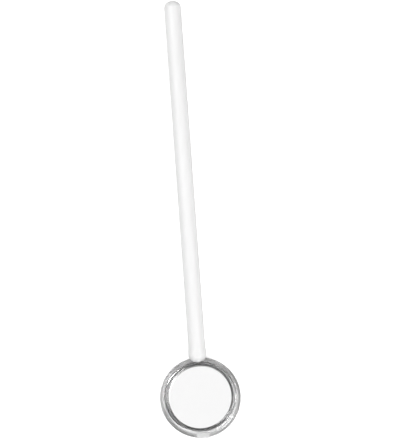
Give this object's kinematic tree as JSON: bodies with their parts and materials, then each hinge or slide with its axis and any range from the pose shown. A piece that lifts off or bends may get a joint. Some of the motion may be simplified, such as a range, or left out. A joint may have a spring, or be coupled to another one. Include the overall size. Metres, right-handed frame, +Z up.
{
  "type": "mouth mirror",
  "caption": "Dental mouth mirror: a slim white rod handle forked onto a clear round head that holds a flat mirror disc behind a lip, tilted back towards the handle.",
  "frame": {"origin": "middle of the bounding box in X and Y, on the surface that the handle lies on", "axes": "+Y along the handle towards its free end, +Z up out of the mirror's face, +X to the right when the mirror is seen face on with the handle up"},
  "size_m": [0.0268, 0.1456, 0.0083],
  "materials": {
    "white_plastic": "satin moulded, opaque white",
    "clear_plastic": "clear, polished mould",
    "glass": "clear float glass, bevelled edge",
    "silvering": "bright reflecting film",
    "lacquer": "grey protective paint",
    "adhesive": "cured adhesive film",
    "cover_plastic": "clear, polished mould"
  },
  "bodies": {
    "root": {"handle": "white_plastic", "head_frame": "clear_plastic", "mirror_glass": "glass", "silver_coating": "silvering", "backing_lacquer": "lacquer", "adhesive_disc": "adhesive", "rear_cover": "cover_plastic"}
  },
  "joints": []
}
